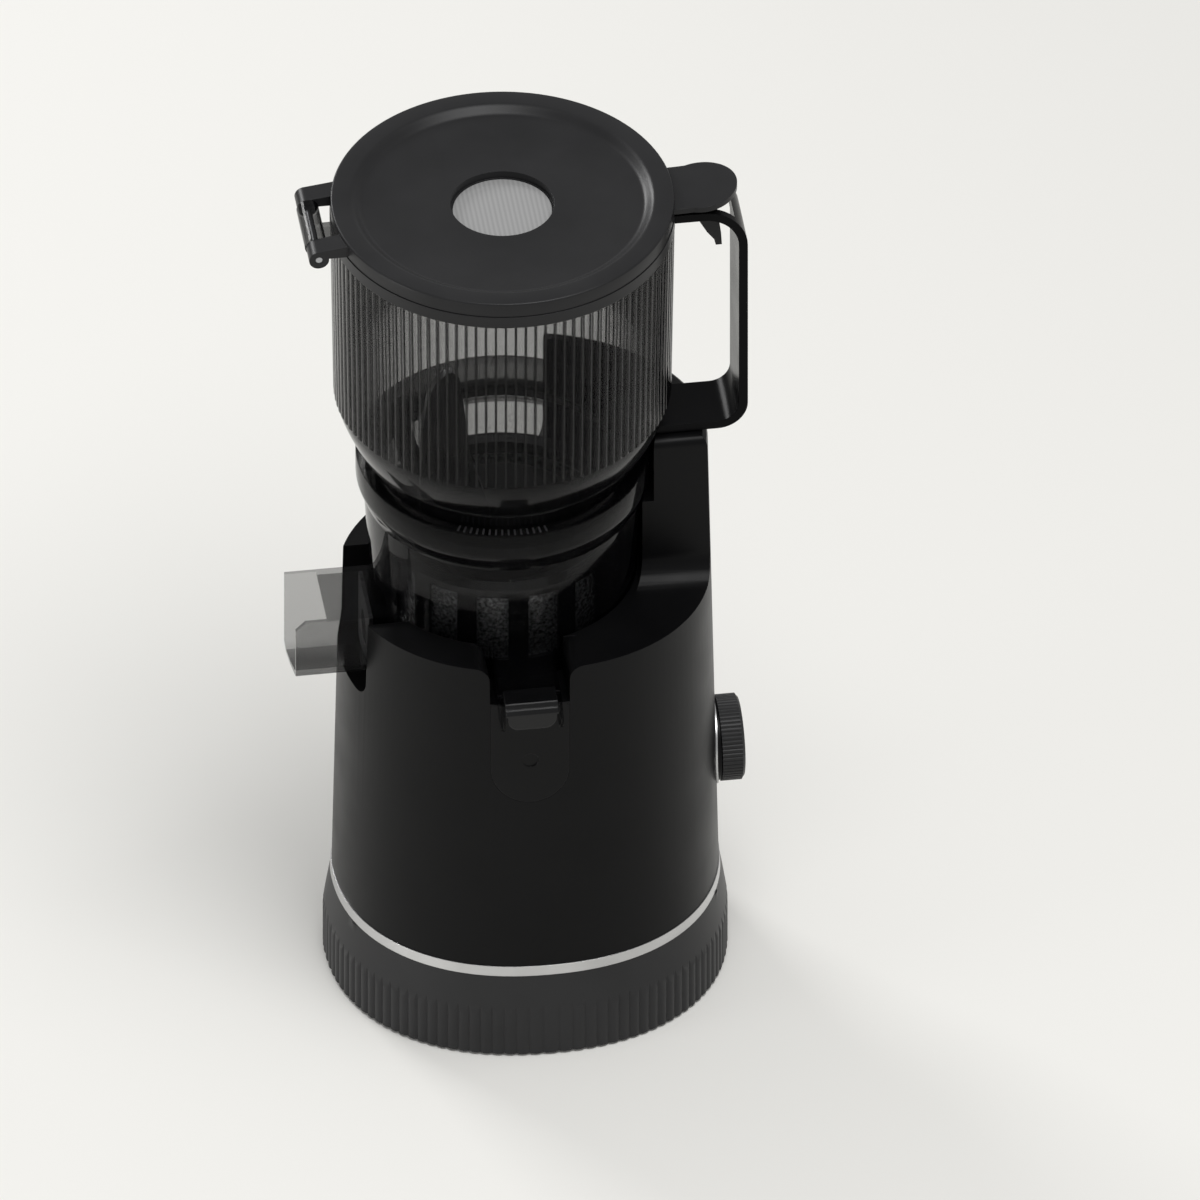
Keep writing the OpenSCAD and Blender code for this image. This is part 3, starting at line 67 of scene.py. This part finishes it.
# Roughness of a moulded surface varies by this much to each side
ROUGH_PLAY = 0.04


# Colour and node helpers

def rgb(code):
    """sRGB hex to a linear colour."""
    out = []
    for k in (0, 2, 4):
        v = int(code[k:k + 2], 16) / 255
        out.append(v / 12.92 if v <= 0.04045 else ((v + 0.055) / 1.055) ** 2.4)
    return (*out, 1.0)


def add(tree, kind, inputs=None, **settings):
    """Adds a node; an input is a value or the socket that feeds it."""
    node = tree.nodes.new(kind)
    for key, value in settings.items():
        setattr(node, key, value)
    for key, value in (inputs or {}).items():
        if isinstance(value, bpy.types.NodeSocket):
            tree.links.new(value, node.inputs[key])
        else:
            node.inputs[key].default_value = value
    return node


def blank(name):
    """A new material without nodes, and its tree."""
    material = bpy.data.materials.new(name)
    material.use_nodes = True
    material.node_tree.nodes.clear()
    return material, material.node_tree


# Finishes

def moulded(name, code, dark, roughness, grain_mm=0.5, grain_high=0.015, patch_mm=35,
            stretch=(1, 1, 1), edge_mm=0.4, **shader):
    """An opaque surface: two near shades in patches, a grain in relief, a roughness that varies a little.

    Sharp edges look rounded by edge_mm, as a moulding's are. stretch above 1 makes the grain finer along
    that axis. The real grain is finer than a pixel, so grain_mm is as coarse as it needs to be to show.
    """
    material, tree = blank(name)
    place = add(tree, "ShaderNodeTexCoord").outputs["Object"]
    patch = add(tree, "ShaderNodeTexNoise", {
        "Vector": place, "Scale": 1 / (patch_mm * MM), "Detail": 3.0}).outputs["Fac"]
    shade = add(tree, "ShaderNodeMapRange", {
        "Value": patch, "From Min": NOISE_LOW, "From Max": NOISE_HIGH, "To Min": 0, "To Max": 1})
    colour = add(tree, "ShaderNodeMix", {
        "Factor": shade.outputs["Result"], "A": rgb(dark), "B": rgb(code)}, data_type="RGBA")
    rough = add(tree, "ShaderNodeMapRange", {
        "Value": patch, "From Min": NOISE_LOW, "From Max": NOISE_HIGH,
        "To Min": roughness - ROUGH_PLAY, "To Max": roughness + ROUGH_PLAY})
    stretched = add(tree, "ShaderNodeMapping", {"Vector": place, "Scale": stretch})
    grain = add(tree, "ShaderNodeTexNoise", {
        "Vector": stretched.outputs["Vector"], "Scale": 1 / (grain_mm * MM), "Detail": 2.0})
    broken = add(tree, "ShaderNodeBevel", {"Radius": edge_mm * MM}, samples=4)
    bump = add(tree, "ShaderNodeBump", {
        "Height": grain.outputs["Fac"], "Strength": 0.5, "Distance": grain_high * MM,
        "Normal": broken.outputs["Normal"]})
    inputs = {
        "Base Color": colour.outputs["Result"], "Normal": bump.outputs["Normal"],
        "Roughness": rough.outputs["Result"]}
    inputs.update({key.replace("_", " "): value for key, value in shader.items()})
    surface = add(tree, "ShaderNodeBsdfPrincipled", inputs)
    add(tree, "ShaderNodeOutputMaterial", {"Surface": surface.outputs["BSDF"]})
    return material


def flute_valleys(tree, place):
    """1 in the narrow valley between two flutes of the hopper's wall, where a line of shade is painted, 0
    elsewhere.
    """
    about = add(tree, "ShaderNodeVectorMath", {
        0: place, 1: (DRUM_X * MM, DRUM_Y * MM, 0)}, operation="SUBTRACT")
    parts = add(tree, "ShaderNodeSeparateXYZ", {"Vector": about.outputs["Vector"]}).outputs
    angle = add(tree, "ShaderNodeMath", {0: parts["Y"], 1: parts["X"]}, operation="ARCTAN2")
    flutes = add(tree, "ShaderNodeMath", {
        0: angle.outputs["Value"], 1: FLUTES / (2 * math.pi)}, operation="MULTIPLY")
    phase = add(tree, "ShaderNodeMath", {0: flutes.outputs["Value"]}, operation="FRACT")
    valley = add(tree, "ShaderNodeMath", {
        0: phase.outputs["Value"], 1: 0.5, 2: VALLEY_HALF}, operation="COMPARE")
    above = add(tree, "ShaderNodeMath", {0: parts["Z"], 1: FLUTES_FROM * MM}, operation="GREATER_THAN")
    return add(tree, "ShaderNodeMath", {
        0: valley.outputs["Value"], 1: above.outputs["Value"]}, operation="MULTIPLY").outputs["Value"]


def smoked(name, code, square, grazing, roughness=0.08, painted_valley_shade=False, chute=False):
    """Smoked clear plastic, with its tint seen square on and at a grazing angle.

    With the valley flag, a dark line of shade is painted in each valley of the hopper's flutes; chute thins
    the tint of the pulp chute.
    """
    material, tree = blank(name)
    place = add(tree, "ShaderNodeTexCoord").outputs["Object"]
    facing = add(tree, "ShaderNodeLayerWeight", {"Blend": 0.5}).outputs["Facing"]
    tint = add(tree, "ShaderNodeMapRange", {
        "Value": facing, "From Min": 0.2, "From Max": 0.8, "To Min": square, "To Max": grazing})
    tint = tint.outputs["Result"]
    # A dark line of painted shade in each valley of the hopper's flutes: the wall is tinted deeper there
    if painted_valley_shade:
        tint = add(tree, "ShaderNodeMath", {
            0: flute_valleys(tree, place), 1: VALLEY_PAINTED_SHADE, 2: tint},
            operation="MULTIPLY_ADD", use_clamp=True).outputs["Value"]
    if chute:
        across = add(tree, "ShaderNodeSeparateXYZ", {"Vector": place}).outputs["X"]
        share = add(tree, "ShaderNodeMapRange", {
            "Value": across, "From Min": CHUTE_X * MM, "From Max": (CHUTE_X - CHUTE_FADE) * MM,
            "To Min": 1, "To Max": CHUTE_SHARE})
        tint = add(tree, "ShaderNodeMath", {
            0: tint, 1: share.outputs["Result"]}, operation="MULTIPLY").outputs["Value"]
    haze = add(tree, "ShaderNodeTexNoise", {"Vector": place, "Scale": 1 / (18 * MM), "Detail": 3.0})
    rough = add(tree, "ShaderNodeMapRange", {
        "Value": haze.outputs["Fac"], "From Min": NOISE_LOW, "From Max": NOISE_HIGH,
        "To Min": roughness - 0.03, "To Max": roughness + 0.05})
    surface = add(tree, "ShaderNodeBsdfPrincipled", {
        "Base Color": rgb(code), "Roughness": rough.outputs["Result"], "IOR": 1.54, "Alpha": tint,
        "Specular IOR Level": 0.16})
    add(tree, "ShaderNodeOutputMaterial", {"Surface": surface.outputs["BSDF"]})
    return material


def upright_bands(name, code, dark, roughness, pitch_mm):
    """Fine upright bands of two near shades under a clear coat: painted light, for a lit, fluted wall seen
    through a pane.
    """
    material, tree = blank(name)
    place = add(tree, "ShaderNodeTexCoord").outputs["Object"]
    bands = add(tree, "ShaderNodeTexWave", {
        "Vector": place, "Scale": math.pi / 10 / (pitch_mm * MM), "Distortion": 0.4,
        "Detail": 1.0}, bands_direction="X").outputs["Fac"]
    colour = add(tree, "ShaderNodeMix", {
        "Factor": bands, "A": rgb(dark), "B": rgb(code)}, data_type="RGBA")
    bump = add(tree, "ShaderNodeBump", {"Height": bands, "Strength": 0.4, "Distance": 0.1 * MM})
    surface = add(tree, "ShaderNodeBsdfPrincipled", {
        "Base Color": colour.outputs["Result"], "Roughness": roughness,
        "Normal": bump.outputs["Normal"], "Coat Weight": 0.3, "Coat Roughness": 0.1})
    add(tree, "ShaderNodeOutputMaterial", {"Surface": surface.outputs["BSDF"]})
    return material


# Materials by the slots of the record

MATERIALS = {
    # Moulded ABS with a spark-eroded texture: soft, broad highlights on near-black
    "black_abs": moulded("abs_satin_black", "0b0b0c", "080809", 0.36, Specular_IOR_Level=0.12),
    # Moulded ABS from a polished tool: tighter highlights
    "black_gloss": moulded("abs_polished_black", "0e0e0f", "0b0b0c", 0.28, grain_mm=2.0,
                           grain_high=0.004, Specular_IOR_Level=0.2),
    # Soft-touch elastomer over ABS on the foot ring: greyer and flatter than the column
    "base_black": moulded("soft_touch_black", "2a2a2b", "252526", 0.42, grain_mm=0.4,
                          Specular_IOR_Level=0.25),
    # Satin chrome plating on ABS: a pale line with blurred reflections
    "silver": moulded("satin_chrome_plating", "cecece", "bebebe", 0.3, grain_mm=0.6,
                      grain_high=0.003, Metallic=1.0),
    # Moulded rubber of the feet and the cord bush: dull, with a coarse grain
    "rubber": moulded("moulded_rubber", "141414", "101010", 0.75, grain_mm=0.8, grain_high=0.05),
    # Turned steel of pins, axles and screws: bright, with fine rings of tool marks
    "steel": moulded("turned_steel", "b4b5b7", "9c9da0", 0.28, grain_mm=1.2, stretch=(1, 1, 8),
                     Metallic=1.0),
    # Glass-filled nylon of the switches and the gear cover: dark grey and half matt
    "switch_nylon": moulded("filled_nylon", "2c2d2f", "242527", 0.5),
    # Solder mask on the control board: a smooth deep green
    "board": moulded("solder_mask_green", "1f5a38", "184a2e", 0.35, grain_mm=1.5),
    # Zinc-plated pressed steel of the motor case and the gear plate: pale grey, cloudy reflections
    "motor_steel": moulded("zinc_plated_steel", "a2a5a6", "8e9193", 0.38, grain_mm=3.0,
                           Metallic=1.0),
    # Stacked steel laminations of stator and rotor: dark metal in thin level lines
    "lamination": moulded("stacked_laminations", "5c5e61", "494b4e", 0.45, grain_mm=1.0,
                          stretch=(0.2, 0.2, 4), Metallic=1.0),
    # Enamelled copper wire of the windings: warm brown metal with a coarse relief
    "copper": moulded("enamelled_copper", "a8602c", "8a4a20", 0.3, grain_mm=0.9, grain_high=0.1,
                      Metallic=1.0),
    # Natural nylon of the moulded gears: creamy and half matt
    "gear_nylon": moulded("natural_nylon", "d6cfbc", "c8c0aa", 0.42),
    # Sintered bronze of the output bush: dull gold with a fine grain
    "bronze": moulded("sintered_bronze", "b08a50", "967340", 0.45, grain_mm=0.5, Metallic=1.0),
    # Moulded silicone of the seals and the pulp gate: dark grey and dull
    "silicone": moulded("grey_silicone", "3a3a3b", "323233", 0.55, grain_mm=1.0, grain_high=0.01),
    # Polished black polymer of the strainer's frame: wavy glints behind the drum's wall
    "strainer_black": moulded("strainer_black", "101011", "0c0c0d", 0.15, grain_mm=6.0,
                              grain_high=0.6, Specular_IOR_Level=0.9),
    # Perforated steel of the strainer's windows: bright specks on dark, partly the steel between dark holes
    # and partly painted glints.
    # The real holes are finer than a pixel, so the specks are drawn as coarse as they need to be to show
    "mesh_steel": moulded("perforated_steel_painted_glints", "e4e6e8", "1c1d1e", 0.18, grain_mm=2.2,
                          grain_high=0.8, patch_mm=1.6, Metallic=0.7),
    # Glass-filled polymer of the screw and the feed blade: dark and smooth
    "screw_black": moulded("glass_filled_black", "121213", "0f0f10", 0.3),
    # Smoked copolyester of the locking collar and the hinge's barrel: dark, clear where seen square on
    "smoked": smoked("smoked_copolyester", "070708", 0.5, 0.97),
    # The lid's round window: pale, with fine upright bands, all painted light: the lit inside of the hopper
    # and the flutes of its far wall, as seen through the window
    "window": upright_bands("window_painted_inner_light", "969696", "8a8a8a", 0.3, 2.4),
}

# Lid, its latch and the rim under it, in satin ABS with a stronger reflection, and a black painted paler
# than the column's to stand in for more of the light that the lid's upward face reflects
lid_black_painted_paler = moulded("lid_black_painted_reflection", "242425", "1f1f20", 0.34, Specular_IOR_Level=0.2)

# Pieces whose finish differs from that of their slot
OWN_FINISH = {
    "lid": lid_black_painted_paler,
    "lid_latch": lid_black_painted_paler,
    "hopper_rim": lid_black_painted_paler,
    # The panel under the spout is moulded in the column's black, with a softer edge
    "front_panel": moulded("panel_satin_black", "0b0b0c", "080809", 0.36, edge_mm=0.9,
                           Specular_IOR_Level=0.14),
    # Handle strap in polished ABS: glossy, but its inner face stays dark
    "handle": moulded("handle_polished_black", "0e0e0f", "0b0b0c", 0.24, grain_mm=2.0,
                      grain_high=0.004, Specular_IOR_Level=0.05),
    # Highly polished ABS of the spout's cap: bright along its broken edges
    "spout_cap": moulded("cap_polished_black", "0a0a0b", "080809", 0.2, grain_mm=2.0,
                         grain_high=0.004, edge_mm=1.0, Specular_IOR_Level=0.3),
    # The cap's pin in blackened steel: dark, so its two ends don't show as bright dots
    "cap_pin": moulded("blackened_steel", "1a1a1b", "141415", 0.3, Metallic=1.0),
    # Knob in matt ABS, painted a paler black than the column's: painted light, for the light that its fine
    # ribs catch
    "knob": moulded("knob_black_painted_light", "2a2a2b", "232324", 0.4, Specular_IOR_Level=0.25),
    # Hopper in thinner smoked plastic: paler, with a painted dark line of shade in each valley of its
    # flutes
    "hopper": smoked("smoked_fluted_wall", "070708", 0.27, 0.95, painted_valley_shade=True),
    # Drum in smoked plastic: the strainer shows through its front, and its open chute is the palest
    "drum": smoked("smoked_drum", "050506", 0.3, 0.92, 0.05, chute=True),
}

slots = {piece["node"]: piece["material_slot"] for piece in frame["record"]["subparts"]}
for node_name, node in frame["nodes"].items():
    node.data.materials.clear()
    node.data.materials.append(OWN_FINISH.get(node_name) or MATERIALS[slots[node_name]])

# Fine grip ribs in an arc on the locking collar's flat top, in front: one rib, and copies of it

# Number of ribs, the arc that they fill and where its middle lies, in degrees about the drum's axis
RIBS = 15
RIB_ARC = 36
RIB_MIDDLE = -98
# Millimetres: distance from the axis, length, width and height, rounding, and gap to the collar's top
RIB_RADIUS = 69.6
RIB_SIZE = (4.2, 0.9, 0.5)
RIB_ROUND = 0.15
RIB_GAP = 0.02

collar_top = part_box("locking_collar")[1][2]
rib_z = collar_top + (RIB_SIZE[2] / 2 + RIB_GAP) * MM
bpy.ops.object.select_all(action="DESELECT")
bpy.ops.mesh.primitive_cube_add(
    size=MM, scale=RIB_SIZE, location=((DRUM_X + RIB_RADIUS) * MM, DRUM_Y * MM, rib_z))
bpy.ops.object.transform_apply(location=True, rotation=True, scale=True)
grip = bpy.context.object
grip.name = "collar_grip"
rounded = grip.modifiers.new("rounded", "BEVEL")
rounded.width = RIB_ROUND * MM
rounded.segments = 2
bpy.ops.object.modifier_apply(modifier="rounded")

ribs = [grip]
for _ in range(RIBS - 1):
    rib = grip.copy()
    rib.data = grip.data.copy()
    bpy.context.collection.objects.link(rib)
    ribs.append(rib)
axis = Matrix.Translation((DRUM_X * MM, DRUM_Y * MM, 0))
for i, rib in enumerate(ribs):
    turn = math.radians(RIB_MIDDLE + RIB_ARC * (i / (RIBS - 1) - 0.5))
    rib.matrix_world = axis @ Matrix.Rotation(turn, 4, "Z") @ axis.inverted()
    rib.select_set(True)
bpy.context.view_layer.objects.active = grip
bpy.context.view_layer.update()
bpy.ops.object.join()
bpy.ops.object.transform_apply(location=True, rotation=True, scale=True)

# Smoked plastic again, paler than the collar, and not see-through
grip.data.materials.append(moulded("pale_smoked_rib", "3c3c3e", "2e2e30", 0.35))
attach(grip, "top")

# Smooth shading of the CAD nodes, split where two faces meet at more than SHARP degrees

SHARP = 28
WELD_MM = 0.002

for node in frame["nodes"].values():
    for face in node.data.polygons:
        face.use_smooth = True
    weld = node.modifiers.new("weld", "WELD")
    weld.merge_threshold = WELD_MM * MM
    split = node.modifiers.new("split", "EDGE_SPLIT")
    split.split_angle = math.radians(SHARP)
    split.use_edge_sharp = False

# Floor: a pale painted board, even and matt

bpy.ops.object.select_all(action="DESELECT")
bpy.ops.mesh.primitive_plane_add(size=8, location=(0, 0, 0))
floor = bpy.context.object
floor.name = "floor"
floor_paint, floor_tree = blank("pale_floor")
floor_place = add(floor_tree, "ShaderNodeTexCoord").outputs["Object"]
floor_shade = add(floor_tree, "ShaderNodeTexNoise", {
    "Vector": floor_place, "Scale": 1 / (900 * MM), "Detail": 2.0})
floor_tone = add(floor_tree, "ShaderNodeMix", {
    "Factor": floor_shade.outputs["Fac"], "A": rgb("efeeea"), "B": rgb("f1f0ec")}, data_type="RGBA")
floor_surface = add(floor_tree, "ShaderNodeBsdfPrincipled", {
    "Base Color": floor_tone.outputs["Result"], "Roughness": 0.9, "Specular IOR Level": 0.1})
add(floor_tree, "ShaderNodeOutputMaterial", {"Surface": floor_surface.outputs["BSDF"]})
floor.data.materials.append(floor_paint)

# Light: an even room and three soft boxes

world = bpy.data.worlds.new("room")
bpy.context.scene.world = world
world.use_nodes = True
world.node_tree.nodes.clear()
sky = add(world.node_tree, "ShaderNodeBackground", {"Color": (1, 1, 1, 1), "Strength": 0.46})
add(world.node_tree, "ShaderNodeOutputWorld", {"Surface": sky.outputs["Background"]})


def softbox(name, place, target, size, watts):
    """A rectangular lamp at place that faces target; sizes in metres."""
    light = bpy.data.lights.new(name, "AREA")
    light.shape = "RECTANGLE"
    light.size, light.size_y = size
    light.energy = watts
    holder = bpy.data.objects.new(name, light)
    bpy.context.scene.collection.objects.link(holder)
    holder.location = place
    aim = Vector(target) - Vector(place)
    holder.rotation_euler = aim.to_track_quat("-Z", "Y").to_euler()


# Low on the left, for the light edge of column and drum
softbox("side_box", (-1.5, -0.45, 0.18), (0, 0, 0.2), (0.5, 0.3), 5)
# Behind on the left, for the rims of lid and hopper
softbox("back_box", (-1.0, 1.7, 1.25), (0, 0, 0.4), (0.7, 0.5), 16)
# Above, for the floor and the faces that look up
softbox("top_box", (0.3, -0.6, 2.1), (0, 0, 0), (1.1, 1.1), 23)

# Camera: the photograph is seen without perspective

# Side of the photograph in pixels, its scale, and the angles of the view
FRAME_PX = 1200
PX_PER_MM = 2.015
AZIMUTH = math.radians(8.0)
ELEVATION = math.radians(38.45)
# The middle of the column's foot at floor level: millimetres in the model, pixels in the photograph
COLUMN_MM = (5.1, 10.785)
COLUMN_PX = (524.3, 934.3)
CAMERA_BACK = 3

right = Vector((math.cos(AZIMUTH), -math.sin(AZIMUTH), 0))
ahead = Vector((math.sin(AZIMUTH), math.cos(AZIMUTH), 0))
look = ahead * math.cos(ELEVATION) - Vector((0, 0, math.sin(ELEVATION)))
up = ahead * math.sin(ELEVATION) + Vector((0, 0, math.cos(ELEVATION)))
metres_per_px = MM / PX_PER_MM
middle = (Vector((*COLUMN_MM, 0)) * MM
          + right * (FRAME_PX / 2 - COLUMN_PX[0]) * metres_per_px
          + up * (COLUMN_PX[1] - FRAME_PX / 2) * metres_per_px)
lens = bpy.data.cameras.new("camera")
lens.type = "ORTHO"
lens.ortho_scale = FRAME_PX * metres_per_px
lens.clip_end = 20
camera = bpy.data.objects.new("camera", lens)
bpy.context.scene.collection.objects.link(camera)
facing_photo = Matrix((right, up, -look)).transposed().to_4x4()
camera.matrix_world = Matrix.Translation(middle - look * CAMERA_BACK) @ facing_photo
bpy.context.scene.camera = camera
bpy.context.scene.view_settings.view_transform = "Standard"
